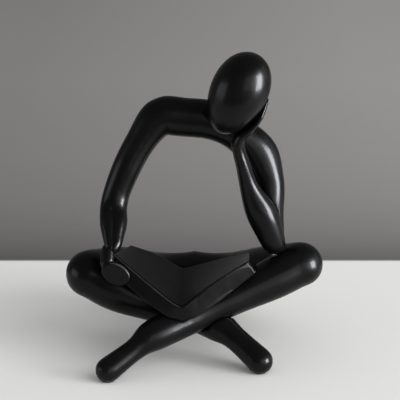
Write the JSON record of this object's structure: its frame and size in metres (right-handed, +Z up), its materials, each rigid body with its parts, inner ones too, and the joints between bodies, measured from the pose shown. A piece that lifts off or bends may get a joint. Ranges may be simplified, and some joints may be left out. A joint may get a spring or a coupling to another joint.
{
  "type": "abstract reading figure ornament",
  "caption": "Cross-legged abstract figure without a torso, in black resin: the egg-shaped head rests on one hand and the other steadies an open book on the lap. Shelf ornament.",
  "frame": {"origin": "on the table, under the middle of the outline seen from above", "axes": "+Z up, the figure faces -Y, so its right side lies towards -X"},
  "size_m": [0.1479, 0.1269, 0.18],
  "materials": {
    "black_resin": "cast mineral-filled resin under a satin black lacquer",
    "dowel_steel": "bright drawn steel rod",
    "black_felt": "thin pressed felt, self-adhesive"
  },
  "bodies": {
    "root": {"seat": "black_resin", "left_leg": "black_resin", "right_leg": "black_resin", "book": "black_resin", "shoulders": "black_resin", "right_forearm": "black_resin", "right_hand": "black_resin", "left_forearm": "black_resin", "head": "black_resin", "right_hip_dowel": "dowel_steel", "left_hip_dowel": "dowel_steel", "left_knee_dowel": "dowel_steel", "neck_dowel": "dowel_steel", "right_elbow_dowel": "dowel_steel", "right_wrist_dowel": "dowel_steel", "left_elbow_dowel": "dowel_steel", "crossing_dowel": "dowel_steel", "book_front_dowel": "dowel_steel", "book_side_dowel": "dowel_steel", "seat_pad": "black_felt", "left_foot_pad": "black_felt", "right_foot_pad": "black_felt"}
  },
  "joints": []
}
